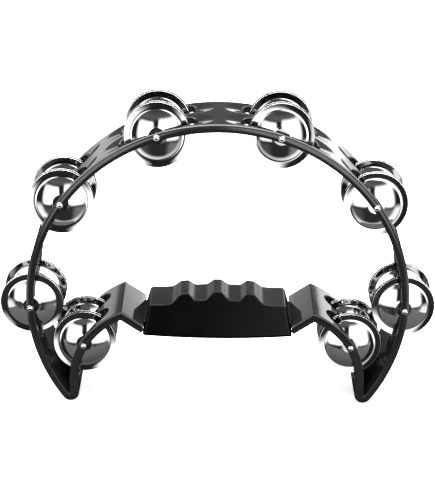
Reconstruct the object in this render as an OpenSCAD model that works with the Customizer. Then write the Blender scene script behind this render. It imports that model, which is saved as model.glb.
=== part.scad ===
// Half-moon tambourine. An arched plastic band runs down into two horn tips, turns
// back up as two inner limbs and meets the handle bar under a finger-grooved grip.
// Eight pins cross the band's two rows of windows, and each carries four domed
// jingles, one facing pair in each window. It stands upright on its horn tips:
// X runs left to right, Y front to back and Z up, and the origin is on the ground
// midway between the horns.

/* [Band] */
// Outer radius of the arched band
band_r = 130; // [129:0.5:132]
// Depth of the band, from its front face to its back face
band_d = 48.5; // [48.5:0.5:51]
// Thickness of the band's wall
band_t = 5.4; // [5:0.1:5.8]
// Angle of the horn tips below the arch's centre
horn_angle = 34.4; // [34:0.1:35]
// Radius of the rounded horn tips
horn_r = 6; // [5.8:0.1:6.4]

/* [Inner limbs and handle bar] */
// Thickness of the inner limbs, the arms and the bar
limb_t = 6.2; // [5.8:0.1:6.6]
// Distance of each limb's straight foot below the arch's centre
foot_drop = 60; // [58:0.5:61]
// Distance of each peak from the middle
peak_x = 65.8; // [64:0.2:67]
// Distance of each peak below the arch's centre
peak_drop = 9; // [8:0.5:10]
// Slope of the arms that fall from the peaks to the bar
arm_angle = 35; // [33:0.5:37]
// Length of each arm
arm_len = 17.5; // [17:0.1:18]
// Depth of the bar where the grip covers it
bar_d = 32; // [24:1:33]
// Height of the stiffening rib that stands on the bar inside the grip
rib_h = 9; // [4:0.5:9]
// Thickness of the stiffening rib
rib_t = 6; // [4:0.5:10]

/* [Windows] */
// Distance of each row of windows from the band's middle plane
row_y = 11.4; // [11.4:0.05:11.6]
// Half the length of a window
window_half_len = 27.2; // [27:0.1:27.4]
// Half the width of a window at its middle
window_half_w = 10.4; // [10.3:0.05:10.5]
// Half the length of a window's widest stretch
window_mid = 11; // [8:0.5:12]
// Radius of a window's rounded ends
window_end_r = 7.6; // [7.5:0.1:8]

/* [Pins] */
// Angles of the top, upper and side pins above the horizontal
arch_pin_angles = [71.5, 35, -1.5];
// Angle of the inner pin about the centre of its limb's curve
inner_pin_angle = 30; // [28:0.5:31]
// Radius of a pin
pin_r = 1.25; // [1:0.05:1.3]
// Radius of a pin's domed heads
head_r = 2.2; // [1.8:0.1:2.4]
// Height of a pin's domed heads
head_h = 0.8; // [0.5:0.1:0.9]

/* [Jingles] */
// Outer radius of a jingle
jingle_r = 21.6; // [21:0.1:21.8]
// Radius of the valley between the flange and the dome
dome_r = 16.8; // [16:0.1:17.4]
// Rise of the dome over the valley
dome_rise = 4.6; // [4:0.1:4.7]
// Rise of the flange's outer edge over the valley
flange_rise = 0.5; // [0.3:0.1:0.6]
// Radius of the flat raised boss round the hole
boss_r = 6.2; // [5:0.1:6.5]
// Height of the boss above the dome's surface at its edge
boss_h = 0.3; // [0.2:0.05:0.4]
// Radius of the hole
hole_r = 2.5; // [2.4:0.05:2.6]
// Thickness of the sheet metal
sheet_t = 0.6; // [0.5:0.1:0.8]
// Distance that a hanging jingle's hole drops below its pin
hang = 0.8; // [0.6:0.05:0.85]
// Gap between the two jingles of a pair where they come closest
pair_gap = 0.4; // [0.3:0.05:0.5]
// Lean of the outward-facing jingles of the left side, from top to inner station
lean_left = [9, 8, 3, 8];
// Lean of the outward-facing jingles of the right side, from top to inner station
lean_right = [9, 7, 5, 8];
// Lean of the jingle behind each of them
lean_partner = 3; // [1:0.5:3.5]

/* [Grip] */
// Half the grip's length at its top
grip_top_x = 47; // [46:0.1:47.2]
// Half the grip's length at its bottom
grip_low_x = 51.6; // [50:0.1:51.9]
// Half the grip's depth at the level of the arch's centre
grip_half_d = 12.1; // [12:0.1:12.4]
// Widening of the grip's half depth for each millimetre downward
grip_flare = 0.5; // [0.48:0.01:0.52]
// Height of the grip's middle ridge above the arch's centre
grip_crown = 3.8; // [3.4:0.1:4.4]
// Depth of the finger grooves from ridge to valley
groove_depth = 4.9; // [4.4:0.1:5.6]
// Spacing of the ridges
groove_pitch = 23.6; // [23.2:0.1:24]
// Half the width of a ridge's flat top
ridge_flat = 1.7; // [1.2:0.1:2.2]
// Distance from a ridge's middle at which the groove's floor starts
groove_start = 8.6; // [8:0.1:9.2]
// Rise of the grip's top at its ends over the outer grooves
end_rise = 1.8; // [1.2:0.1:2.4]
// Distance of the grip's lowest line below the arch's centre
grip_drop = 26; // [25.6:0.1:26.6]
// Distance of the grip's bottom corners below the arch's centre
grip_corner_drop = 24.4; // [24:0.1:24.8]

/* [Hidden] */
$fn = 96;
STATIONS = ["top", "upper", "side", "inner"];
SIDES = ["left", "right"];

black_plastic = [0.05, 0.05, 0.055];
black_rubber = [0.12, 0.12, 0.12];
chrome = [0.8, 0.81, 0.83];
pin_fit = 0.02;
notch_fill = 3;
arm_root = 2;
window_in = 12;
window_out = 5;

// The horn tips touch the ground, so the arch's centre lies this far above it.
horn_spot = (band_r - horn_r) * [cos(horn_angle), -sin(horn_angle)];
centre_z = horn_r - horn_spot[1];

// Each inner limb is a straight foot and then one arc from the foot to the peak.
limb_x = horn_spot[0] - horn_r + limb_t / 2;
limb_rise = foot_drop - peak_drop;
limb_cx = (limb_x ^ 2 - peak_x ^ 2 - limb_rise ^ 2) / (2 * (limb_x - peak_x));
limb_r = limb_x - limb_cx;
limb_end_angle = atan2(limb_rise, peak_x - limb_cx);
peak_spot = [peak_x, -peak_drop];
arm_up = [-sin(arm_angle), cos(arm_angle)];
bar_spot = peak_spot - arm_len * [cos(arm_angle), sin(arm_angle)];
bar_root_x = 51.2;

// A pin runs through the middle of the wall of the band or of the limb.
function wall_angle(s) = s < 3 ? arch_pin_angles[s] : inner_pin_angle;
function pin_spot(s) =
    let (a = wall_angle(s), ray = [cos(a), sin(a)])
    s < 3 ? (band_r - band_t / 2) * ray : [limb_cx, -foot_drop] + limb_r * ray;

// Height of the dome's outer surface above the back of the valley, at radius r.
dome_sphere_r = (dome_r ^ 2 + dome_rise ^ 2) / (2 * dome_rise);
function dome_z(r) = sheet_t + dome_rise - dome_sphere_r + sqrt(dome_sphere_r ^ 2 - r ^ 2);
boss_z = dome_z(boss_r) + boss_h;
hole_z = boss_z - sheet_t / 2;
dome_steps = 12;

// Distance between the holes of a pair that almost touches at the top, where either
// the two valleys or the two flange edges come closest.
function pair_spread(lean) =
    let (slope = sin(lean) + sin(lean_partner))
    hole_z * (cos(lean) + cos(lean_partner))
        + max(dome_r * slope, jingle_r * slope - 2 * flange_rise) + pair_gap;

// Height of the grip's scalloped top at distance x from the middle.
crown_fall = 0.0025;
outer_groove_x = 1.5 * groove_pitch;
function smooth(t) = let (s = max(0, min(1, t))) s ^ 2 * (3 - 2 * s);
function from_ridge(x) = abs(x - groove_pitch * round(x / groove_pitch));
function grip_top(x) = grip_crown - crown_fall * x ^ 2
    - groove_depth * (abs(x) > outer_groove_x
                      ? 1 : smooth((from_ridge(x) - ridge_flat) / (groove_start - ridge_flat)))
    + end_rise * smooth((abs(x) - outer_groove_x) / (grip_top_x - outer_groove_x));
function grip_bottom(x) = -grip_drop + (grip_drop - grip_corner_drop) * (x / grip_low_x) ^ 2;

// Pie slice from angle a0 to angle a1 that reaches past radius r.
module slice(r, a0, a1) {
    steps = 4;
    polygon(concat([[0, 0]],
                   [for (i = [0:steps]) 1.5 * r * [cos(a0 + (a1 - a0) * i / steps),
                                                   sin(a0 + (a1 - a0) * i / steps)]]));
}

// Curved strip between two radii, from angle a0 to angle a1.
module strip(inner_r, outer_r, a0, a1) {
    intersection() {
        difference() {
            circle(outer_r);
            if (inner_r > 0) circle(inner_r);
        }
        slice(outer_r, a0, a1);
    }
}

// Corner where the faces of two walls with normals n0 and n1 meet, round centre spot.
function corner(spot, n0, n1) = spot + limb_t / 2 * (n0 + n1) / (1 + n0 * n1);

// Right half of the band's outline, about the arch's centre.
module half_outline() {
    strip(band_r - band_t, band_r, -horn_angle, 90);
    translate(horn_spot) {
        strip(0, horn_r, -180, -horn_angle);
        polygon([[-notch_fill, 0], notch_fill * [cos(horn_angle), -sin(horn_angle)],
                 notch_fill * [cos(horn_angle), 0.4], [-notch_fill, 0.3 * notch_fill]]);
    }
    translate([limb_x - limb_t / 2, horn_spot[1]]) square([limb_t, -horn_spot[1] - foot_drop]);
    translate([limb_cx, -foot_drop])
        strip(limb_r - limb_t / 2, limb_r + limb_t / 2, 0, limb_end_angle);
    limb_out = [cos(limb_end_angle), sin(limb_end_angle)];
    polygon([peak_spot + limb_t / 2 * limb_out,
             corner(peak_spot, limb_out, arm_up),
             corner(bar_spot, arm_up, [0, 1]),
             corner(bar_spot, -arm_up, [0, -1]),
             corner(peak_spot, -limb_out, -arm_up) + arm_root * [cos(arm_angle), sin(arm_angle)]]);
}

// One window's outline: widest at the middle, with rounded ends.
module window_outline() {
    end_x = window_half_len - window_end_r;
    reach = norm([end_x - window_mid, window_half_w]);
    tangent_angle = asin(window_end_r / reach) - atan2(window_half_w, end_x - window_mid);
    tangent_len = sqrt(reach ^ 2 - window_end_r ^ 2);
    touch = [window_mid, window_half_w] + tangent_len * [cos(tangent_angle), sin(tangent_angle)];
    for (side = [0, 1]) mirror([side, 0]) {
        translate([end_x, 0]) circle(window_end_r);
        polygon([[0, window_half_w], [window_mid, window_half_w], touch,
                 [touch[0], -touch[1]], [window_mid, -window_half_w], [0, -window_half_w]]);
    }
}

// Both windows and the pin hole of station s, on the right side.
module station_cuts(s) {
    spot = pin_spot(s);
    translate([spot[0], 0, spot[1]]) {
        rotate([0, 90 - wall_angle(s), 0]) for (row = [-1, 1]) translate([0, row * row_y, 0])
            translate([0, 0, -window_in]) linear_extrude(height = window_in + window_out)
                window_outline();
        rotate([90, 0, 0]) cylinder(r = pin_r + pin_fit, h = 2 * band_d, center = true);
    }
}

// The handle bar and its rib, where the grip covers them.
module bar_core() {
    translate([-bar_root_x, -bar_d / 2, bar_spot[1] - limb_t / 2])
        cube([2 * bar_root_x, bar_d, limb_t]);
    translate([-grip_top_x + 6, -rib_t / 2, bar_spot[1]])
        cube([2 * grip_top_x - 12, rib_t, limb_t / 2 + rib_h]);
}

module frame() {
    color(black_plastic) translate([0, 0, centre_z]) {
        difference() {
            rotate([90, 0, 0]) linear_extrude(height = band_d, center = true) {
                half_outline();
                mirror([1, 0]) half_outline();
            }
            for (side = [0, 1]) mirror([side, 0, 0]) for (s = [0:3]) station_cuts(s);
        }
        bar_core();
    }
}

module grip() {
    xs = [for (i = [-60:60]) i * grip_top_x / 60];
    side_view = concat([for (x = xs) [x, grip_top(x)]],
                       [for (i = [10:-1:-10]) let (x = i * grip_low_x / 10) [x, grip_bottom(x)]]);
    top_z = 8;
    low_z = -grip_drop - 1;
    end_view = [[-(grip_half_d - grip_flare * top_z), top_z],
                [grip_half_d - grip_flare * top_z, top_z],
                [grip_half_d - grip_flare * low_z, low_z],
                [-(grip_half_d - grip_flare * low_z), low_z]];
    color(black_rubber) translate([0, 0, centre_z]) difference() {
        intersection() {
            rotate([90, 0, 0]) linear_extrude(height = 2 * band_d, center = true)
                polygon(side_view);
            rotate([90, 0, 90]) linear_extrude(height = 4 * grip_low_x, center = true)
                polygon(end_view);
        }
        bar_core();
    }
}

// A straight pin through both rows of windows, with a domed head at each end.
module pin() {
    cap_r = (head_r ^ 2 + head_h ^ 2) / (2 * head_h);
    color(chrome) rotate([90, 0, 0]) {
        cylinder(r = pin_r, h = band_d, center = true);
        for (end = [0, 1]) mirror([0, 0, end]) translate([0, 0, band_d / 2]) intersection() {
            translate([0, 0, head_h - cap_r]) sphere(cap_r);
            cylinder(r = 2 * head_r, h = 2 * head_h);
        }
    }
}

// A domed disc about its hole, with the dome towards +Z.
module jingle() {
    rs = [for (i = [0:dome_steps]) boss_r + (dome_r - boss_r) * i / dome_steps];
    rs_back = [for (i = [dome_steps:-1:0]) rs[i]];
    profile = concat([[hole_r, boss_z - sheet_t], [hole_r, boss_z], [boss_r, boss_z]],
                     [for (r = rs) [r, dome_z(r)]],
                     [[jingle_r, flange_rise + sheet_t], [jingle_r, flange_rise]],
                     [for (r = rs_back) [r, dome_z(r) - sheet_t]],
                     [[boss_r - sheet_t / 2, boss_z - sheet_t]]);
    color(chrome) translate([0, 0, -hole_z]) rotate_extrude() polygon(profile);
}

// Moves a part drawn at the origin to the pin of station s on the named side.
module at_pin(side, s) {
    spot = pin_spot(s);
    translate([side == "left" ? -spot[0] : spot[0], 0, centre_z + spot[1]]) children();
}

// Jingle i of a pin, counted from the front: 1 and 3 face the front, 2 and 4 the back.
module hung_jingle(side, s, i) {
    lean = side == "left" ? lean_left[s] : lean_right[s];
    row = i < 3 ? -1 : 1;
    facing = i % 2 == 1 ? -1 : 1;
    own_lean = facing < 0 ? lean : lean_partner;
    at_pin(side, s) translate([0, row * row_y + facing * pair_spread(lean) / 2, -hang])
        rotate([-facing * (90 - own_lean), 0, 0]) jingle();
}

frame();
grip();
for (side = SIDES) for (s = [0:3]) {
    at_pin(side, s) pin();
    for (i = [1:4])
        hung_jingle(side, s, i);
}
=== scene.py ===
"""Half-moon tambourine: visual meshes, materials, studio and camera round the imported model."""
import math
import bpy
import bmesh
import numpy as np
from mathutils import Matrix, Vector

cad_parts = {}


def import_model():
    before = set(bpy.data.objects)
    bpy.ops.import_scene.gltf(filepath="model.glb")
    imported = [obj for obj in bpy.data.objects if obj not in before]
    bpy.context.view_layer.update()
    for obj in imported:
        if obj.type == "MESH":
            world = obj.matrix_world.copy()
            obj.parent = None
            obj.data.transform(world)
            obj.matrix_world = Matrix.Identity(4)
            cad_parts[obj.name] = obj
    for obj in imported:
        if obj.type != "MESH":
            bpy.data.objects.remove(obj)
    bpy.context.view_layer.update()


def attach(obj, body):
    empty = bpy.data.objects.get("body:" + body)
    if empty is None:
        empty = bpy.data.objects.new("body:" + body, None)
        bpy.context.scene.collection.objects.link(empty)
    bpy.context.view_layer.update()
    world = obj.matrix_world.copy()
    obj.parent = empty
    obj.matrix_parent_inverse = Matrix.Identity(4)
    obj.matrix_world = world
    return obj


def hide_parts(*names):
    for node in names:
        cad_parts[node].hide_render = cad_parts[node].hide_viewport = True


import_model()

# ---- sizes in millimetres, about the arch's centre, as in the CAD source ----
MM = 0.001    # millimetres to metres
BAND_R, BAND_D, BAND_T = 130.0, 48.5, 5.4
HORN_ANGLE, HORN_R = 34.4, 6.0
LIMB_T, FOOT_DROP = 6.2, 60.0
PEAK = np.array([65.8, -9.0])
ARM_ANGLE, ARM_LEN = 35.0, 17.5
BAR_D, BAR_ROOT_X = 32.0, 51.2
ROW_Y = 11.4
WIN_HALF_LEN, WIN_HALF_W, WIN_MID, WIN_END_R = 27.2, 10.4, 11.0, 7.6
ARCH_PIN_ANGLES = (71.5, 35.0, -1.5)
INNER_PIN_ANGLE = 30.0
PIN_R, HEAD_R, HEAD_H = 1.25, 2.2, 0.8
JINGLE_R, DOME_R, DOME_RISE, FLANGE_RISE = 21.6, 16.8, 4.6, 0.5
BOSS_R, BOSS_H, HOLE_R, SHEET_T = 6.2, 0.3, 2.5, 0.6
HANG, PAIR_GAP, LEAN_PARTNER = 0.8, 0.4, 3.0
LEAN = {"left": (9, 8, 3, 8), "right": (9, 7, 5, 8)}
STATIONS = ("top", "upper", "side", "inner")
SIDES = {"left": -1, "right": 1}
GRIP_TOP_X, GRIP_LOW_X = 47.0, 51.6
GRIP_HALF_D, GRIP_FLARE = 12.1, 0.5
GRIP_CROWN, GRIP_FALL, GROOVE_DEPTH, GROOVE_PITCH = 3.8, 0.0025, 4.9, 23.6
RIDGE_FLAT, GROOVE_START, END_RISE = 1.7, 8.6, 1.8
GRIP_DROP, GRIP_CORNER_DROP = 26.0, 24.4


def unit(degrees):
    """Unit vector at an angle in the X-Z plane."""
    return np.array([math.cos(math.radians(degrees)), math.sin(math.radians(degrees))])


def left_of(degrees):
    """Unit vector a quarter turn to the left of that direction."""
    return unit(degrees + 90)


HORN = (BAND_R - HORN_R) * unit(-HORN_ANGLE)
CENTRE_Z = HORN_R - HORN[1]
LIMB_X = HORN[0] - HORN_R + LIMB_T / 2
LIMB_RISE = FOOT_DROP + PEAK[1]
LIMB_CX = (LIMB_X**2 - PEAK[0]**2 - LIMB_RISE**2) / (2 * (LIMB_X - PEAK[0]))
LIMB_C = np.array([LIMB_CX, -FOOT_DROP])
LIMB_R = LIMB_X - LIMB_CX
LIMB_END = math.degrees(math.atan2(LIMB_RISE, PEAK[0] - LIMB_CX))
BAR = PEAK - ARM_LEN * unit(ARM_ANGLE)


def set_smooth(mesh):
    mesh.polygons.foreach_set("use_smooth", [True] * len(mesh.polygons))


def clean_mesh(mesh, weld):
    """Merges points closer than weld, in metres, and turns every face outwards."""
    bm = bmesh.new()
    bm.from_mesh(mesh)
    if weld:
        bmesh.ops.remove_doubles(bm, verts=bm.verts, dist=weld)
    bmesh.ops.recalc_face_normals(bm, faces=bm.faces)
    bm.to_mesh(mesh)
    bm.free()


def add_object(name, mesh):
    obj = bpy.data.objects.new(name, mesh)
    bpy.context.scene.collection.objects.link(obj)
    return obj


def mesh_piece(name, verts, faces, body, slot, mat, replaces=(), weld=0.0):
    """A mesh object in metres, made from millimetre points about the arch's centre."""
    pts = np.asarray(verts, float).copy()
    pts[:, 2] += CENTRE_Z
    mesh = bpy.data.meshes.new(name)
    mesh.from_pydata((pts * MM).tolist(), [], [list(f) for f in faces])
    clean_mesh(mesh, weld * MM)
    set_smooth(mesh)
    mesh.materials.append(mat)
    obj = add_object(name, mesh)
    place(obj, body, replaces)
    return obj


def place(obj, body, replaces=()):
    """Puts a piece on its body, in place of its CAD nodes."""
    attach(obj, body)
    if replaces:
        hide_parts(*replaces)


def even_normals(obj):
    """Keeps broad flat faces flat where they meet rounded edges."""
    mod = obj.modifiers.new("normals", "WEIGHTED_NORMAL")
    mod.mode = "FACE_AREA"
    mod.weight = 100
    mod.keep_sharp = True


# ---- materials ----
class Tree:
    """A small builder for node trees."""

    def __init__(self, tree):
        self.nodes, self.links = tree.nodes, tree.links

    def node(self, kind, **values):
        n = self.nodes.new(kind)
        for key, value in values.items():
            setattr(n, key, value)
        return n

    def link(self, out, socket):
        self.links.new(out, socket)

    def math(self, operation, a, b=None):
        m = self.node("ShaderNodeMath", operation=operation)
        for i, v in enumerate((a, b)):
            if v is None:
                continue
            if isinstance(v, (int, float)):
                m.inputs[i].default_value = v
            else:
                self.link(v, m.inputs[i])
        return m.outputs[0]

    def span(self, fac, low, high, from_low=0.3, from_high=0.7, kind="LINEAR"):
        """Maps the range from_low..from_high, by default that of noise, to low..high."""
        r = self.node("ShaderNodeMapRange", interpolation_type=kind)
        r.inputs["From Min"].default_value = from_low
        r.inputs["From Max"].default_value = from_high
        r.inputs["To Min"].default_value = low
        r.inputs["To Max"].default_value = high
        self.link(fac, r.inputs["Value"])
        return r.outputs["Result"]


class Shader(Tree):
    """A small builder for node materials."""

    def __init__(self, name):
        self.mat = bpy.data.materials.new(name)
        self.mat.use_nodes = True
        super().__init__(self.mat.node_tree)
        self.bsdf = self.nodes["Principled BSDF"]

    def set(self, **values):
        """Sets constants on the shader's own sockets, with _ for a space."""
        for key, value in values.items():
            self.bsdf.inputs[key.replace("_", " ")].default_value = value

    def noise(self, scale, detail=3.0, rough=0.5, stretch=(1, 1, 1)):
        tex = self.node("ShaderNodeTexCoord")
        mapping = self.node("ShaderNodeMapping")
        mapping.inputs["Scale"].default_value = stretch
        noise = self.node("ShaderNodeTexNoise")
        noise.inputs["Scale"].default_value = scale
        noise.inputs["Detail"].default_value = detail
        noise.inputs["Roughness"].default_value = rough
        self.link(tex.outputs["Object"], mapping.inputs["Vector"])
        self.link(mapping.outputs["Vector"], noise.inputs["Vector"])
        return noise.outputs["Fac"]

    def bump(self, height, distance, strength=1.0, under=None):
        b = self.node("ShaderNodeBump")
        b.inputs["Strength"].default_value = strength
        b.inputs["Distance"].default_value = distance
        self.link(height, b.inputs["Height"])
        if under is not None:
            self.link(under, b.inputs["Normal"])
        return b.outputs["Normal"]

    def mix(self, fac, a, b):
        m = self.node("ShaderNodeMix", data_type="RGBA")
        self.link(fac, m.inputs["Factor"])
        for socket, colour in zip([i for i in m.inputs if i.type == "RGBA"], (a, b)):
            if isinstance(colour, tuple):
                socket.default_value = (*colour, 1)
            else:
                self.link(colour, socket)
        return next(o for o in m.outputs if o.type == "RGBA")


def gloss_plastic():
    """Polished black ABS: faint flow marks, fine dust and hairline scratches."""
    s = Shader("band_gloss_plastic")
    flow = s.noise(45, 3.0, 0.5)
    fine = s.noise(900, 4.0, 0.6)
    scratch = s.noise(700, 2.0, 0.5, stretch=(1, 0.03, 1))
    s.link(s.mix(s.span(flow, 0, 1), (0.015, 0.015, 0.0155), (0.020, 0.020, 0.0205)),
           s.bsdf.inputs["Base Color"])
    rough = s.math("ADD", s.span(fine, 0.05, 0.12), s.span(scratch, 0.0, 0.10, 0.62, 0.75))
    s.link(rough, s.bsdf.inputs["Roughness"])
    s.set(IOR=1.65)
    low = s.bump(flow, 0.00003)
    s.link(s.bump(scratch, 0.000002, 0.6, low), s.bsdf.inputs["Normal"])
    return s.mat


def satin_rubber():
    """Black rubber: satin with a fine moulded grain on top, smooth and glossy on its sides; its top faces are
    painted lighter, as the overhead light would leave them.
    """
    s = Shader("grip_rubber")
    grain = s.noise(2600, 3.0, 0.6)
    patch = s.noise(60, 3.0, 0.55)
    axes = s.node("ShaderNodeSeparateXYZ")
    s.link(s.node("ShaderNodeTexCoord").outputs["Normal"], axes.inputs[0])
    top = s.span(axes.outputs["Z"], 0.0, 1.0, 0.6, 0.85, "SMOOTHSTEP")
    # painted light: faces turned upwards get a lighter base colour than the sides, as if lit from above; the
    # patches vary that tone at random
    patchy_painted_lit_top = s.mix(s.span(patch, 0, 1), (0.012, 0.012, 0.0122), (0.018, 0.018, 0.0183))
    s.link(s.mix(top, (0.0022, 0.0022, 0.0023), patchy_painted_lit_top), s.bsdf.inputs["Base Color"])
    satin = s.math("ADD", s.span(patch, 0.30, 0.40), s.span(grain, -0.03, 0.05))
    side = s.math("ADD", s.span(patch, 0.10, 0.15), s.span(grain, -0.01, 0.02))
    s.link(s.math("ADD", s.math("MULTIPLY", satin, top),
                  s.math("MULTIPLY", side, s.math("SUBTRACT", 1.0, top))), s.bsdf.inputs["Roughness"])
    s.set(IOR=1.45, Specular_IOR_Level=0.2)
    relief = s.math("MULTIPLY", grain, s.span(top, 0.15, 1.0, 0.0, 1.0))
    s.link(s.bump(relief, 0.00004, 0.7, s.bump(patch, 0.00003, 0.5)), s.bsdf.inputs["Normal"])
    return s.mat


def chrome(name, turned, tone=0.9, dull=0.015):
    """Plated metal with faint turning rings, haze and a few dull spots."""
    s = Shader(name)
    tex = s.node("ShaderNodeTexCoord")
    info = s.node("ShaderNodeObjectInfo")
    shift = s.node("ShaderNodeVectorMath", operation="SCALE")
    shift.inputs[0].default_value = (0.9, 0.7, 0.4)
    s.link(info.outputs["Random"], shift.inputs["Scale"])
    moved = s.node("ShaderNodeVectorMath", operation="ADD")
    s.link(tex.outputs["Object"], moved.inputs[0])
    s.link(shift.outputs[0], moved.inputs[1])
    haze = s.node("ShaderNodeTexNoise")
    haze.inputs["Scale"].default_value = 140
    haze.inputs["Detail"].default_value = 4
    s.link(moved.outputs[0], haze.inputs["Vector"])
    spots = s.node("ShaderNodeTexNoise")
    spots.inputs["Scale"].default_value = 1500
    spots.inputs["Detail"].default_value = 2
    s.link(moved.outputs[0], spots.inputs["Vector"])
    light, dark = tone * 1.03, tone * 0.96
    s.link(s.mix(s.span(haze.outputs["Fac"], 0, 1), (dark, dark, dark * 1.01), (light, light, light * 1.01)),
           s.bsdf.inputs["Base Color"])
    s.set(Metallic=1.0)
    rough = s.math("ADD", s.span(haze.outputs["Fac"], dull, 3 * dull),
                   s.span(spots.outputs["Fac"], 0, 0.12, 0.66, 0.74))
    s.link(rough, s.bsdf.inputs["Roughness"])
    ripple = s.bump(haze.outputs["Fac"], 0.00001)
    if turned:
        flat = s.node("ShaderNodeVectorMath", operation="MULTIPLY")
        flat.inputs[1].default_value = (1, 1, 0)
        s.link(tex.outputs["Object"], flat.inputs[0])
        radius = s.node("ShaderNodeVectorMath", operation="LENGTH")
        s.link(flat.outputs[0], radius.inputs[0])
        ring = s.node("ShaderNodeTexNoise", noise_dimensions="1D")
        ring.inputs["Scale"].default_value = 1
        ring.inputs["Detail"].default_value = 3
        s.link(s.math("MULTIPLY", radius.outputs["Value"], 2500), ring.inputs["W"])
        ripple = s.bump(ring.outputs["Fac"], 0.0000008, 1.0, ripple)
    s.link(ripple, s.bsdf.inputs["Normal"])
    return s.mat


BAND_MAT = gloss_plastic()
GRIP_MAT = satin_rubber()
JINGLE_MAT = chrome("jingle_chrome", True)
# painted shade: a darker, duller copy of the chrome, for the discs' faces that turn towards their partners
JINGLE_SHADED_BACK_MAT = chrome("jingle_dull_back_painted_shade", True, 0.22, 0.12)
PIN_MAT = chrome("pin_chrome", False)


# ---- the frame: a wall swept between its outer line (a) and its inner line (b) ----
SHOULDER_Y, SHOULDER_H = 2.2, 3.6    # the wide rounding of the outer edge, along Y and into the wall
ROUND_B = 0.9                        # the small rounding of the inner edge
FLAT_A, FLAT_B = BAND_D / 2 - SHOULDER_Y, BAND_D / 2 - ROUND_B
ACROSS, ALONG = 14, 60               # quads from the mid rib to an edge, and along one station
SHOULDER_STEPS, BEAD_STEPS = 12, 6
NOTCH_R = 0.5                        # the sharp inside corner of a horn
HORN_STEPS, FOOT_STEPS = 32, 4
PEAK_A_R, PEAK_B_R, PEAK_STEPS = 1.2, 0.7, 8
ARM_CAP = 0.4                        # how far the arm's end is chamfered


def fillet(corner, d0, d1, radius, steps):
    """Points and directions of an arc that rounds the corner between two directions."""
    turn = d1 - d0
    reach = radius * math.tan(math.radians(abs(turn)) / 2)
    side = 1 if turn > 0 else -1
    centre = corner - reach * unit(d0) + side * radius * left_of(d0)
    out = []
    for i in range(steps + 1):
        d = d0 + turn * i / steps
        out.append((centre - side * radius * left_of(d), d))
    return out


def wall_point(station, side, u):
    """The wall's a or b line at distance u from a station's middle, and the wall's direction there."""
    angle = station["angle"]
    if station["arch"]:
        r = BAND_R if side == "a" else BAND_R - BAND_T
        along = math.sqrt(r * r - u * u)
        point = along * unit(angle) + u * unit(angle - 90)
        return point, math.degrees(math.atan2(point[1], point[0])) - 90
    r = LIMB_R - LIMB_T / 2 if side == "a" else LIMB_R + LIMB_T / 2
    at = angle + math.degrees(math.asin(u / r))
    if at >= 0:
        return LIMB_C + math.sqrt(r * r - u * u) * unit(angle) + u * unit(angle + 90), at - 270
    along = (r + u * math.sin(math.radians(angle))) / math.cos(math.radians(angle))
    return LIMB_C + along * unit(angle) + u * unit(angle + 90), -270


# each station's stretch of wall on its a and b lines, and the line with dishes round its windows
ARCH_STATIONS = [dict(angle=angle, arch=True, a=(-39.0, 39.0), b=(-37.0, 37.0), dish="a")
                 for angle in ARCH_PIN_ANGLES]
INNER_STATION = dict(angle=INNER_PIN_ANGLE, arch=False, a=(-31.0, 29.2), b=(-33.0, 33.0), dish="")


def station_columns(station):
    """One station's columns: a point, its direction, b point, its direction."""
    cols = []
    for k in range(ALONG + 1):
        t = k / ALONG
        pair = []
        for side in "ab":
            u0, u1 = station[side]
            pair.append(wall_point(station, side, u0 + (u1 - u0) * t))
        cols.append((*pair[0], *pair[1]))
    return cols


def arch_columns(a0, a1, b0, b1, steps):
    """Columns of the plain arch between two angles of each line."""
    out = []
    for i in range(steps + 1):
        a, b = a0 + (a1 - a0) * i / steps, b0 + (b1 - b0) * i / steps
        out.append((BAND_R * unit(a), a - 90, (BAND_R - BAND_T) * unit(b), b - 90))
    return out


def arm_part():
    """The wall from the inner station's end over the peak and down the arm to the bar."""
    ra, rb = LIMB_R - LIMB_T / 2, LIMB_R + LIMB_T / 2
    arm = 180 + ARM_ANGLE - 360
    arm_up = left_of(ARM_ANGLE)
    out_end = unit(LIMB_END)
    half = LIMB_T / 2
    # where the a line's arc meets the underside of the arm, before the peak
    base = PEAK - half * arm_up
    along = -unit(ARM_ANGLE)
    rel = base - LIMB_C
    b2 = rel @ along
    t = -b2 - math.sqrt(b2 * b2 - (rel @ rel - ra * ra))
    hit = base + along * t
    hit_angle = math.degrees(math.atan2(hit[1] - LIMB_C[1], hit[0] - LIMB_C[0]))
    corner_b = PEAK + half * (out_end + arm_up) / (1 + out_end @ arm_up)
    bar_a = BAR - half * (arm_up + [0, 1]) / (1 + arm_up[1])
    bar_b = BAR + half * (arm_up + [0, 1]) / (1 + arm_up[1])
    a_line = [(LIMB_C + ra * unit(p), p - 270) for p in np.linspace(
        INNER_PIN_ANGLE + math.degrees(math.asin(INNER_STATION["a"][1] / ra)), hit_angle - 1.0, 3)]
    a_line += fillet(hit, hit_angle - 270, arm, PEAK_A_R, PEAK_STEPS)
    b_line = [(LIMB_C + rb * unit(p), p - 270) for p in np.linspace(
        INNER_PIN_ANGLE + math.degrees(math.asin(INNER_STATION["b"][1] / rb)), LIMB_END, 3)]
    b_line += fillet(corner_b, LIMB_END - 270, arm, PEAK_B_R, PEAK_STEPS)
    for line, end in ((a_line, bar_a), (b_line, bar_b)):
        start, stop = line[-1][0], end + ARM_CAP * unit(ARM_ANGLE)
        for i in range(1, 5):
            line.append((start + (stop - start) * i / 4, arm))
    return [(*a, *b) for a, b in zip(a_line, b_line)]


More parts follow.
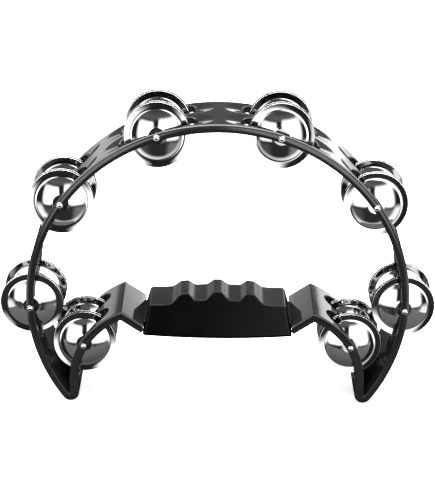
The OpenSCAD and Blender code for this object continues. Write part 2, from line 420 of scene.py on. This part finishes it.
def wall_columns():
    """Every column of the right half, and the index at which each station starts."""
    cols, starts = [], []

    def add(part):
        if cols:
            part = part[1:]
        cols.extend(part)

    last_a = last_b = 90.0
    for st in ARCH_STATIONS:
        part = station_columns(st)
        a0, b0 = part[0][1] + 90, part[0][3] + 90
        add(arch_columns(last_a, a0, last_b, b0, 4 if cols else 2))
        starts.append(len(cols) - 1)
        add(part)
        last_a, last_b = part[-1][1] + 90, part[-1][3] + 90
    notch_x = LIMB_X + LIMB_T / 2 + NOTCH_R
    notch = np.array([notch_x, -math.sqrt((BAND_R - BAND_T - NOTCH_R) ** 2 - notch_x**2)])
    notch_angle = math.degrees(math.atan2(notch[1], notch[0]))
    add(arch_columns(last_a, -HORN_ANGLE, last_b, notch_angle, 12))
    horn = []
    for i in range(HORN_STEPS + 1):
        t = i / HORN_STEPS
        a = -HORN_ANGLE + (HORN_ANGLE - 180) * t
        b = notch_angle + (-180 - notch_angle) * t
        horn.append((HORN + HORN_R * unit(a), a - 90, notch + NOTCH_R * unit(b), b - 90))
    add(horn)
    inner = station_columns(INNER_STATION)
    foot = []
    for i in range(FOOT_STEPS + 1):
        t = i / FOOT_STEPS
        foot.append((horn[-1][0] + (inner[0][0] - horn[-1][0]) * t, -270,
                     horn[-1][2] + (inner[0][2] - horn[-1][2]) * t, -270))
    add(foot)
    starts.append(len(cols) - 1)
    add(inner)
    add(arm_part())
    return cols, starts


def window_outline():
    """The window's outline about its middle, as a closed polygon of u, v points."""
    end_x = WIN_HALF_LEN - WIN_END_R
    reach = math.hypot(end_x - WIN_MID, WIN_HALF_W)
    tangent = math.asin(WIN_END_R / reach) - math.atan2(WIN_HALF_W, end_x - WIN_MID)
    length = math.sqrt(reach**2 - WIN_END_R**2)
    touch = np.array([WIN_MID + length * math.cos(tangent), WIN_HALF_W + length * math.sin(tangent)])
    start = math.atan2(touch[1], touch[0] - end_x)
    quarter = [(0, WIN_HALF_W), (WIN_MID - 2, WIN_HALF_W), (WIN_MID - 0.6, WIN_HALF_W - 0.05),
               (WIN_MID + 0.6, WIN_HALF_W - 0.2), (WIN_MID + 2, WIN_HALF_W - 0.55)]
    quarter += [(end_x + WIN_END_R * math.cos(a), WIN_END_R * math.sin(a)) for a in np.linspace(start, 0, 24)]
    pts = np.array(quarter)
    right = np.vstack([pts, (pts * [1, -1])[::-1][1:]])
    return np.vstack([right, (right * [-1, 1])[::-1][1:-1]])


def ray_hit(origin, direction, loop):
    """Smallest positive distance at which a ray leaves a polygon."""
    p, q = loop, np.roll(loop, -1, 0)
    e = q - p
    den = direction[0] * e[:, 1] - direction[1] * e[:, 0]
    with np.errstate(divide="ignore", invalid="ignore"):
        w = p - origin
        t = (w[:, 0] * e[:, 1] - w[:, 1] * e[:, 0]) / den
        s = (w[:, 0] * direction[1] - w[:, 1] * direction[0]) / den
    ok = (np.abs(den) > 1e-12) & (t > 1e-9) & (s >= -1e-6) & (s <= 1 + 1e-6)
    return t[ok].min()


def border(u0, u1, top):
    """Border points of one window's patch, from the middle rib to the rim, in order round it."""
    us, vs = np.linspace(u0, u1, ALONG + 1), np.linspace(0, top, ACROSS + 1)
    pts = [(u, top) for u in us[:-1]] + [(u1, v) for v in vs[:0:-1]]
    pts += [(u, 0) for u in us[:0:-1]] + [(u0, v) for v in vs[:-1]]
    return np.array(pts)


DISH_REACH, DISH_SLOPE = 11.0, 0.15    # how far a dish reaches from its window, and how steep it is
DISH_SIDE = 0.2                        # its reach beside the window, as a share of that at the ends
LIP_R = 0.6                            # rounding of the window's edge
DISH_RINGS, LIP_STEPS, WALL_STEPS = 8, 5, 2


def add_window(verts, faces, station, row):
    """One window: dished or plain border, rounded lips and straight walls from the a side to the b side."""
    loop = window_outline()
    rims = {}
    end_x = WIN_HALF_LEN - WIN_END_R
    start = len(verts)
    for side in "ab":
        rims[side] = border(*station[side], FLAT_A if side == "a" else FLAT_B)
    middle = (rims["a"] + rims["b"]) / 2
    spine = np.stack([np.clip(middle[:, 0], -end_x, end_x), np.full(len(middle), ROW_Y)], 1)
    cut = []
    for m, b in zip(spine, middle):
        d = (b - m) / np.linalg.norm(b - m)
        cut.append(m + d * ray_hit(m - [0, ROW_Y], d, loop))
    cut = np.array(cut)
    normal = unit(station["angle"]) * (1 if station["arch"] else -1)
    rings = []

    def ring(side, uv, depth):
        out = []
        for (u, v), h in zip(uv, depth):
            p, _ = wall_point(station, side, u)
            p = p - normal * h if side == "a" else p + normal * h
            out.append((p[0], row * v, p[1]))
        rings.append(out)

    for side in "ab":
        gap = rims[side] - cut
        length = np.linalg.norm(gap, axis=1)
        way = gap / length[:, None]
        lip = np.minimum(LIP_R, 0.75 * length)
        edge = np.minimum(0.15, 0.1 * length)
        spread = DISH_SIDE + (1 - DISH_SIDE) * np.abs(way[:, 0]) ** 3
        reach = np.minimum(DISH_REACH * spread, length - 2 * edge)
        reach = np.maximum(reach, lip + edge)
        slope = DISH_SLOPE if station["dish"] == side else 0.0
        stack = []
        for d in [length, (length + reach) / 2, reach + edge / 2] + [
                lip + (reach - edge / 2 - lip) * j / DISH_RINGS for j in range(DISH_RINGS, -1, -1)]:
            stack.append((cut + way * d[:, None], slope * np.maximum(reach - d, 0)))
        lip_top = stack[-1][1]
        for j in range(1, LIP_STEPS + 1):
            a = math.radians(90 * j / LIP_STEPS)
            stack.append((cut + way * (lip * (1 - math.sin(a)))[:, None], lip_top + lip * (1 - math.cos(a))))
        if side == "b":
            stack.reverse()
        for uv, h in stack:
            ring(side, uv, h)
    # the straight walls go between the last a ring and the first b ring
    seam = 3 + DISH_RINGS + LIP_STEPS
    upper, lower = np.array(rings[seam]), np.array(rings[seam + 1])
    walls = [(upper + (lower - upper) * j / (WALL_STEPS + 1)).tolist() for j in range(1, WALL_STEPS + 1)]
    rings[seam + 1:seam + 1] = walls
    n = len(cut)
    for r in rings:
        verts.extend(tuple(p) for p in r)
    for i in range(len(rings) - 1):
        for k in range(n):
            a, b = start + i * n, start + (i + 1) * n
            faces.append((a + k, a + (k + 1) % n, b + (k + 1) % n, b + k))


def build_frame():
    """Points and faces of the whole moulding except the bar: its right half, then the left one."""
    verts, faces = [], []
    cols, starts = wall_columns()

    def grid(rows):
        """Adds a grid of quads through rows of points."""
        base, width = len(verts), len(rows[0])
        for r in rows:
            verts.extend(tuple(p) for p in r)
        for i in range(len(rows) - 1):
            for k in range(width - 1):
                a = base + i * width + k
                faces.append((a, a + 1, a + width + 1, a + width))

    def outline(col):
        """Half of a column's rounded edge on the front, from the a face to the b face."""
        pa, da, pb, db = col
        na, nb = left_of(da), -left_of(db)
        pts = []
        for p, n, h, w, steps, order in ((pa, na, SHOULDER_H, SHOULDER_Y, SHOULDER_STEPS, 1),
                                         (pb, nb, ROUND_B, ROUND_B, BEAD_STEPS, -1)):
            arc = []
            for j in range(steps + 1):
                t = math.radians(90 * j / steps)
                q = p - n * (h * (1 - math.cos(t)))
                arc.append((q[0], BAND_D / 2 - w + w * math.sin(t), q[1]))
            pts += arc[::order]
        return pts

    front = [outline(c) for c in cols]
    for s in (1, -1):
        grid([[(x, s * y, z) for x, y, z in r] for r in front])
    skip = [(s, s + ALONG) for s in starts]
    for index, flat in ((0, FLAT_A), (2, FLAT_B)):
        ys = [flat * j / ACROSS for j in range(-ACROSS, ACROSS + 1)]
        begin = 0
        for s0, s1 in skip + [(len(cols) - 1, None)]:
            part = cols[begin:s0 + 1]
            if len(part) > 1:
                grid([[(c[index][0], y, c[index][1]) for y in ys] for c in part])
            begin = s1
    for st in ARCH_STATIONS + [INNER_STATION]:
        for row in (1, -1):
            add_window(verts, faces, st, row)
    # the closed end of the arm, a little inside the last column
    pa, _, pb, _ = cols[-1]
    half = front[-1]
    ya = [FLAT_A * j / ACROSS for j in range(ACROSS - 1, -ACROSS, -1)]
    yb = [FLAT_B * j / ACROSS for j in range(-ACROSS + 1, ACROSS)]
    ring = half[::-1]
    ring += [(pa[0], y, pa[1]) for y in ya]
    ring += [(x, -y, z) for x, y, z in half]
    ring += [(pb[0], y, pb[1]) for y in yb]
    mid = (pa + pb) / 2
    inner = []
    for x, y, z in ring:
        p = np.array([x, z]) - ARM_CAP * unit(ARM_ANGLE)
        p += (mid - [x, z]) * ARM_CAP / LIMB_T
        inner.append((p[0], y - ARM_CAP * np.sign(y) * (abs(y) > FLAT_A - 0.5), p[1]))
    base, n = len(verts), len(ring)
    verts.extend(ring)
    verts.extend(inner)
    for k in range(n):
        faces.append((base + k, base + (k + 1) % n, base + n + (k + 1) % n, base + n + k))
    faces.append(tuple(base + n + k for k in range(n)))
    count = len(verts)
    verts += [(-x, y, z) for x, y, z in verts]
    faces += [tuple(i + count for i in f) for f in faces]
    return verts, faces


def add_block(verts, faces, lo, hi, bevel):
    """A closed block with chamfered edges."""
    lo, hi = np.array(lo, float), np.array(hi, float)
    base = len(verts)
    bm = bmesh.new()
    bmesh.ops.create_cube(bm, size=1.0)
    for v in bm.verts:
        v.co = Vector([lo[i] + (hi[i] - lo[i]) * (v.co[i] + 0.5) for i in range(3)])
    bmesh.ops.bevel(bm, geom=list(bm.edges), offset=bevel, segments=2, affect="EDGES", profile=0.6)
    bm.verts.index_update()
    verts.extend(tuple(v.co) for v in bm.verts)
    faces.extend(tuple(base + v.index for v in f.verts) for f in bm.faces)
    bm.free()


frame_verts, frame_faces = build_frame()
add_block(frame_verts, frame_faces, (-BAR_ROOT_X, -BAR_D / 2, BAR[1] - LIMB_T / 2 + 0.05),
          (BAR_ROOT_X, BAR_D / 2, BAR[1] + LIMB_T / 2 - 0.05), 0.5)
even_normals(mesh_piece("frame_band", frame_verts, frame_faces, "band", "band", BAND_MAT,
                        ("frame",), weld=0.004))


# ---- turned parts ----
def rounded(path, steps=5):
    """A polyline whose corners are rounded: each point is r, z and the corner's radius."""
    out = []
    for i, (r, z, rad) in enumerate(path):
        p = np.array([r, z], float)
        if rad <= 0 or i in (0, len(path) - 1):
            out.append(p)
            continue
        a, b = np.array(path[i - 1][:2], float) - p, np.array(path[i + 1][:2], float) - p
        la, lb = np.linalg.norm(a), np.linalg.norm(b)
        a, b = a / la, b / lb
        half = math.acos(max(-1, min(1, a @ b))) / 2
        cut = min(rad / math.tan(half), 0.49 * la, 0.49 * lb)
        real = cut * math.tan(half)
        bis = (a + b) / np.linalg.norm(a + b)
        centre = p + bis * (real / math.sin(half))
        v0, v1 = p + a * cut - centre, p + b * cut - centre
        a0, a1 = math.atan2(v0[1], v0[0]), math.atan2(v1[1], v1[0])
        turn = (a1 - a0 + math.pi) % (2 * math.pi) - math.pi
        for k in range(steps + 1):
            t = a0 + turn * k / steps
            out.append(centre + real * np.array([math.cos(t), math.sin(t)]))
    return out


def turned_mesh(name, profile, around, closed, mat):
    """A mesh of revolution about Z, in metres. A closed profile makes a ring."""
    verts, faces = [], []
    for k in range(around):
        a = 2 * math.pi * k / around
        for r, z in profile:
            verts.append((r * math.cos(a) * MM, r * math.sin(a) * MM, z * MM))
    n = len(profile)
    for k in range(around):
        for i in range(n if closed else n - 1):
            a, b = k * n + i, k * n + (i + 1) % n
            c, d = ((k + 1) % around) * n + i, ((k + 1) % around) * n + (i + 1) % n
            faces.append((a, b, d, c))
    mesh = bpy.data.meshes.new(name)
    mesh.from_pydata(verts, [], faces)
    clean_mesh(mesh, 1e-6)
    set_smooth(mesh)
    mesh.materials.append(mat)
    return mesh


VALLEY_R, VALLEY_FILLET = 17.3, 3.0    # where the dome turns into the flange
FLANGE_CURVE = 1.3                     # power of the flange's rise from the valley to the rim
RIM_FILLET = 0.28
DOME_SPHERE = (DOME_R**2 + DOME_RISE**2) / (2 * DOME_RISE)


def dome_z(r):
    """Height of the dome's outer face at radius r."""
    return SHEET_T + DOME_RISE - DOME_SPHERE + math.sqrt(DOME_SPHERE**2 - r * r)


BOSS_Z = dome_z(BOSS_R) + BOSS_H
HOLE_Z = BOSS_Z - SHEET_T / 2


def jingle_profile():
    """The disc's closed section, from the hole out over the dome to the rim and back underneath."""
    edge_z = FLANGE_RISE + SHEET_T
    out = [(HOLE_R, BOSS_Z - SHEET_T / 2, 0), (HOLE_R, BOSS_Z, RIM_FILLET), (BOSS_R - 0.7, BOSS_Z, 0.9),
           (BOSS_R + 0.55, dome_z(BOSS_R + 0.55), 0.5)]
    out += [(r, dome_z(r), 0) for r in np.linspace(BOSS_R + 1.3, DOME_R - 1.6, 12)]
    out += [(DOME_R + 0.1, dome_z(DOME_R), VALLEY_FILLET)]
    rim = [(r, SHEET_T + FLANGE_RISE * ((r - VALLEY_R) / (JINGLE_R - VALLEY_R)) ** FLANGE_CURVE)
           for r in np.linspace(VALLEY_R + 1.1, JINGLE_R, 5)]
    out += [(r, z, 0) for r, z in rim[:-1]]
    out += [(JINGLE_R, edge_z, RIM_FILLET), (JINGLE_R, edge_z - SHEET_T, RIM_FILLET)]
    out += [(r, z - SHEET_T, 0) for r, z in rim[-2::-1]]
    out += [(DOME_R + 0.1, dome_z(DOME_R) - SHEET_T, VALLEY_FILLET)]
    out += [(r, dome_z(r) - SHEET_T, 0) for r in np.linspace(DOME_R - 1.6, BOSS_R + 1.0, 10)]
    out += [(BOSS_R + 0.25, dome_z(BOSS_R + 0.25) - SHEET_T, 0.4), (BOSS_R - 1.0, BOSS_Z - SHEET_T, 0.6),
            (HOLE_R, BOSS_Z - SHEET_T, RIM_FILLET), (HOLE_R, BOSS_Z - SHEET_T / 2, 0)]
    return rounded(out, 5)[:-1]


def station_spot(s):
    """Middle of station s's pin on the right side."""
    if s < 3:
        return (BAND_R - BAND_T / 2) * unit(ARCH_PIN_ANGLES[s])
    return LIMB_C + LIMB_R * unit(INNER_PIN_ANGLE)


def pair_spread(lean):
    """Distance between the hole middles of two facing discs that lean towards each other."""
    slope = math.sin(math.radians(lean)) + math.sin(math.radians(LEAN_PARTNER))
    cosines = math.cos(math.radians(lean)) + math.cos(math.radians(LEAN_PARTNER))
    return HOLE_Z * cosines + max(DOME_R * slope, JINGLE_R * slope - 2 * FLANGE_RISE) + PAIR_GAP


def pin_profile():
    """The pin's section from its front head to its back head."""
    cap = (HEAD_R**2 + HEAD_H**2) / (2 * HEAD_H)
    tip = BAND_D / 2 + HEAD_H
    side = math.asin(HEAD_R / cap)
    head = [(cap * math.sin(t), tip - cap + cap * math.cos(t), 0) for t in np.linspace(0, side * 0.97, 9)]
    rim, under = BAND_D / 2 - 0.05, BAND_D / 2 - 0.5
    head += [(HEAD_R, rim, 0.12), (HEAD_R, under, 0.1), (PIN_R, under, 0.1)]
    half = rounded(head + [(PIN_R, 8, 0)], 3)
    return half + [np.array([r, -z]) for r, z in half[::-1]]


JINGLE_AROUND, PIN_AROUND = 128, 40
jingle_mesh = turned_mesh("jingle", jingle_profile(), JINGLE_AROUND, True, JINGLE_MAT)
jingle_mesh.materials.append(JINGLE_SHADED_BACK_MAT)
# faces turned towards the partner disc take the darker copy: painted shade between the pair
for face in jingle_mesh.polygons:
    face.material_index = int(face.normal.z < -0.5)
pin_mesh = turned_mesh("pin", pin_profile(), PIN_AROUND, False, PIN_MAT)

for side, sign in SIDES.items():
    for s, station in enumerate(STATIONS):
        spot = station_spot(s)
        origin = Vector((sign * spot[0], 0, spot[1] + CENTRE_Z)) * MM
        pin = add_object(f"turned_pin_{station}_{side}", pin_mesh)
        pin.matrix_world = Matrix.Translation(origin) @ Matrix.Rotation(math.radians(90), 4, "X")
        place(pin, "band", (f"pin_{station}_{side}",))
        lean = LEAN[side][s]
        for i in (1, 2, 3, 4):
            row, facing = (-1 if i < 3 else 1), (-1 if i % 2 else 1)
            own = lean if facing < 0 else LEAN_PARTNER
            shift = Vector((0, row * ROW_Y + facing * pair_spread(lean) / 2, -HANG)) * MM
            name = f"jingle_{station}_{side}_{i}"
            piece = add_object("spun_" + name, jingle_mesh)
            piece.matrix_world = (Matrix.Translation(origin + shift)
                                  @ Matrix.Rotation(math.radians(-facing * (90 - own)), 4, "X")
                                  @ Matrix.Rotation(math.radians(90 * (i + s)), 4, "Z")
                                  @ Matrix.Translation((0, 0, -HOLE_Z * MM)))
            even_normals(piece)
            place(piece, name, (name,))


# ---- grip ----
TOP_FILLET, LOW_FILLET, LEAST_FILLET = 1.5, 2.2, 0.25
CORNER_STEPS = 6
SIDE_STEPS = (10, 8, 14, 8)            # quads along each flat side of the section, after each corner
END_FILLET, END_STEPS, LENGTH_STEPS = 1.6, 7, 180


def grip_top(x):
    """Height of the grip's top face, with its finger grooves, at distance x from the middle."""
    def smooth(t):
        t = max(0.0, min(1.0, t))
        return t * t * (3 - 2 * t)

    outer = 1.5 * GROOVE_PITCH
    off = abs(x - GROOVE_PITCH * round(x / GROOVE_PITCH))
    groove = 1 if abs(x) > outer else smooth((off - RIDGE_FLAT) / (GROOVE_START - RIDGE_FLAT))
    ends = smooth((abs(x) - outer) / (GRIP_TOP_X - outer))
    return GRIP_CROWN - GRIP_FALL * x * x - GROOVE_DEPTH * groove + END_RISE * ends


def grip_section(x, inset):
    """Rounded outline of the grip at distance x from the middle, as x, y, z points."""
    top = grip_top(x) - inset
    low = -GRIP_DROP + (GRIP_DROP - GRIP_CORNER_DROP) * (x / GRIP_TOP_X) ** 2 + inset
    slant = math.hypot(1, GRIP_FLARE)
    y_top = GRIP_HALF_D - GRIP_FLARE * top - inset * slant
    y_low = GRIP_HALF_D - GRIP_FLARE * low - inset * slant
    r_top, r_low = max(TOP_FILLET - inset, LEAST_FILLET), max(LOW_FILLET - inset, LEAST_FILLET)
    loop = []
    corners = [(-y_top, top, r_top), (y_top, top, r_top), (y_low, low, r_low), (-y_low, low, r_low)]
    n = len(corners)
    for i, (y, z, r) in enumerate(corners):
        p = np.array([y, z])
        a = np.array(corners[i - 1][:2]) - p
        b = np.array(corners[(i + 1) % n][:2]) - p
        a, b = a / np.linalg.norm(a), b / np.linalg.norm(b)
        half = math.acos(a @ b) / 2
        cut = r / math.tan(half)
        centre = p + (a + b) / np.linalg.norm(a + b) * (r / math.sin(half))
        v0, v1 = p + a * cut - centre, p + b * cut - centre
        a0 = math.atan2(v0[1], v0[0])
        turn = (math.atan2(v1[1], v1[0]) - a0 + math.pi) % (2 * math.pi) - math.pi
        for k in range(CORNER_STEPS + 1):
            t = a0 + turn * k / CORNER_STEPS
            loop.append(centre + r * np.array([math.cos(t), math.sin(t)]))
    dense = []
    for i, p in enumerate(loop):
        dense.append(p)
        corner, k = divmod(i, CORNER_STEPS + 1)
        if k == CORNER_STEPS:
            q, count = loop[(i + 1) % len(loop)], SIDE_STEPS[corner]
            dense += [p + (q - p) * k / count for k in range(1, count)]
    z_end = grip_top(GRIP_TOP_X)
    out = []
    for y, z in dense:
        full = GRIP_TOP_X + (GRIP_LOW_X - GRIP_TOP_X) * (z_end - z) / (z_end + GRIP_CORNER_DROP)
        out.append((x * full / GRIP_TOP_X, y, z))
    return out


def build_grip():
    """Sections from the right end to the left end, closed by a face at each."""
    flat_x = GRIP_TOP_X - END_FILLET
    ends = [(flat_x + END_FILLET * math.sin(t), END_FILLET * (1 - math.cos(t)))
            for t in np.radians(np.linspace(90, 0, END_STEPS + 1))]
    body = [(x, 0.0) for x in np.linspace(flat_x, -flat_x, LENGTH_STEPS + 1)][1:-1]
    rows = ends + body + [(-x, i) for x, i in ends[::-1]]
    verts, faces = [], []
    for x, inset in rows:
        verts.extend(grip_section(x, inset))
    n = len(verts) // len(rows)
    for i in range(len(rows) - 1):
        for k in range(n):
            a, b = i * n, (i + 1) * n
            faces.append((a + k, a + (k + 1) % n, b + (k + 1) % n, b + k))
    faces.append(tuple(range(n)))
    faces.append(tuple((len(rows) - 1) * n + k for k in range(n)))
    return verts, faces


even_normals(mesh_piece("grip_sleeve", *build_grip(), "band", "grip", GRIP_MAT, ("grip",)))


# ---- studio ----
def flat_sheet(name, points):
    """One flat face of the studio, in metres."""
    mesh = bpy.data.meshes.new(name)
    mesh.from_pydata(points, [], [tuple(range(len(points)))])
    return add_object(name, mesh)


def floor():
    """A pale floor with rounded corners, which lights nothing and shows in no reflection."""
    x0, x1, y0, y1, r, steps = -1.6, 1.6, -0.50, 2.2, 0.08, 6
    ring = []
    corners = ((x1 - r, y1 - r, 0), (x0 + r, y1 - r, 90), (x0 + r, y0 + r, 180), (x1 - r, y0 + r, 270))
    for cx, cy, a0 in corners:
        for k in range(steps + 1):
            p = unit(a0 + 90 * k / steps) * r
            ring.append((cx + p[0], cy + p[1], 0))
    obj = flat_sheet("studio_floor", ring)
    s = Shader("floor_white")
    s.link(s.mix(s.noise(6, 2.0), (0.90, 0.90, 0.90), (0.93, 0.93, 0.93)), s.bsdf.inputs["Base Color"])
    s.link(s.span(s.noise(40, 3.0), 0.6, 0.75), s.bsdf.inputs["Roughness"])
    s.set(Emission_Color=(1, 1, 1, 1), Emission_Strength=0.75)
    obj.data.materials.append(s.mat)
    obj.visible_glossy = False
    obj.visible_diffuse = False


floor()


def painted_floor_shade():
    """A dark sheet on the floor under and in front of the object, seen only in reflections: painted shade
    standing for the floor's shadowed patch near the object.
    """
    x, y0, y1, z = 0.24, -0.105, 0.03, 0.0006
    obj = flat_sheet("studio_card", [(-x, y0, z), (x, y0, z), (x, y1, z), (-x, y1, z)])
    s = Shader("black_painted_floor_shade")
    s.link(s.mix(s.noise(30, 2.0), (0.03, 0.03, 0.03), (0.05, 0.05, 0.05)), s.bsdf.inputs["Base Color"])
    s.set(Roughness=0.9)
    obj.data.materials.append(s.mat)
    for ray in ("camera", "diffuse", "shadow", "transmission"):
        setattr(obj, "visible_" + ray, False)


painted_floor_shade()


def world():
    """Studio light by direction: two tall boxes in front, a long one overhead and a low glow behind.

    Azimuth is 0 straight in front of the object and 90 on its right; rise is 90 overhead.
    """
    w = bpy.data.worlds.new("studio")
    bpy.context.scene.world = w
    w.use_nodes = True
    t = Tree(w.node_tree)
    t.nodes.clear()
    split = t.node("ShaderNodeSeparateXYZ")
    t.link(t.node("ShaderNodeTexCoord").outputs["Generated"], split.inputs[0])
    x, y, z = split.outputs
    degrees = 180 / math.pi
    azimuth = t.math("MULTIPLY", t.math("ARCTAN2", x, t.math("MULTIPLY", y, -1.0)), degrees)
    aside = t.math("ABSOLUTE", azimuth)
    rise = t.math("MULTIPLY", t.math("ARCSINE", z), degrees)
    over = t.math("MULTIPLY", t.math("ARCTAN2", z, y), degrees)
    ahead = t.math("ADD", t.math("MULTIPLY", y, -0.996), t.math("MULTIPLY", z, -0.087))

    def ramp(value, low, high, at_low, at_high):
        return t.span(value, low, high, at_low, at_high, "SMOOTHSTEP")

    def step(value, low, high):
        return ramp(value, 0.0, 1.0, low, high)

    def inverse(value):
        return t.math("SUBTRACT", 1.0, value)

    def band(value, a, b, c, d):
        return t.math("MULTIPLY", step(value, a, b), inverse(step(value, c, d)))

    def product(*parts):
        out = parts[0]
        for p in parts[1:]:
            out = t.math("MULTIPLY", out, p)
        return out

    behind = step(aside, 80, 100)
    front = inverse(behind)
    left_box = product(band(azimuth, -52, -40, -16, -8), band(rise, -17, -6, 22, 34), 2.4)
    right_box = product(band(azimuth, -1, 8, 40, 54), band(rise, -18, -7, 26, 42), 2.4)
    low_grey = product(band(aside, 16, 34, 40, 62), ramp(x, 0.05, 0.17, -0.2, 0.2))
    table_front = product(front, band(rise, -56, -49, -24, -14), t.math("ADD", low_grey, 0.01))
    ceiling_front = product(front, ramp(rise, 0.09, 0.02, 38, 60), step(rise, 30, 38))
    surround = product(inverse(step(rise, -22, -8)), inverse(step(ahead, 0.55, 0.70)),
                       ramp(y, 1.0, 0.12, 0.62, 0.84))
    apart = t.math("MAXIMUM", step(aside, 72, 86), step(rise, 60, 68))
    overhead = product(band(over, 58, 64, 108, 115), step(rise, 8, 20), apart, 9.0)
    glow = product(behind, band(rise, -5, 0, 10.5, 14.5), ramp(x, 1.3, 3.2, -0.15, 0.15))
    haze = product(behind, band(rise, 10, 15, 22, 32), 0.13)
    total = 0.015
    for part in (left_box, right_box, table_front, ceiling_front, surround, overhead, glow, haze):
        total = t.math("ADD", part, total)

    # light that has met two surfaces is dimmed, and the camera sees plain white
    path = t.node("ShaderNodeLightPath")
    dimmed = t.span(path.outputs["Ray Depth"], 1.0, 0.3, 2.2, 2.8)
    lit, white = t.node("ShaderNodeBackground"), t.node("ShaderNodeBackground")
    for background in (lit, white):
        background.inputs["Color"].default_value = (1, 1, 1, 1)
    t.link(t.math("MULTIPLY", total, dimmed), lit.inputs["Strength"])
    white.inputs["Strength"].default_value = 1.05
    pick = t.node("ShaderNodeMixShader")
    t.link(path.outputs["Is Camera Ray"], pick.inputs[0])
    t.link(lit.outputs[0], pick.inputs[1])
    t.link(white.outputs[0], pick.inputs[2])
    t.link(pick.outputs[0], t.node("ShaderNodeOutputWorld").inputs["Surface"])


world()

# ---- camera, at the photograph's viewing angle ----
CAMERA_AT = Vector((-0.0004, -0.8758, 0.5163))
PITCH, ROLL = math.radians(24.96), math.radians(0.548)
forward = Vector((0, math.cos(PITCH), -math.sin(PITCH)))
level = Vector((1, 0, 0))
upright = level.cross(forward)
right = math.cos(ROLL) * level + math.sin(ROLL) * upright
up = -math.sin(ROLL) * level + math.cos(ROLL) * upright
camera = add_object("camera", bpy.data.cameras.new("camera"))
turn = Matrix((right, up, -forward)).transposed().to_4x4()
camera.matrix_world = Matrix.Translation(CAMERA_AT) @ turn
camera.data.sensor_width = 36
camera.data.lens = 102.77
camera.data.clip_start = 0.01
bpy.context.scene.camera = camera

scene = bpy.context.scene
scene.view_settings.view_transform = "Standard"
scene.view_settings.look = "None"
scene.view_settings.exposure = 0
scene.view_settings.gamma = 1
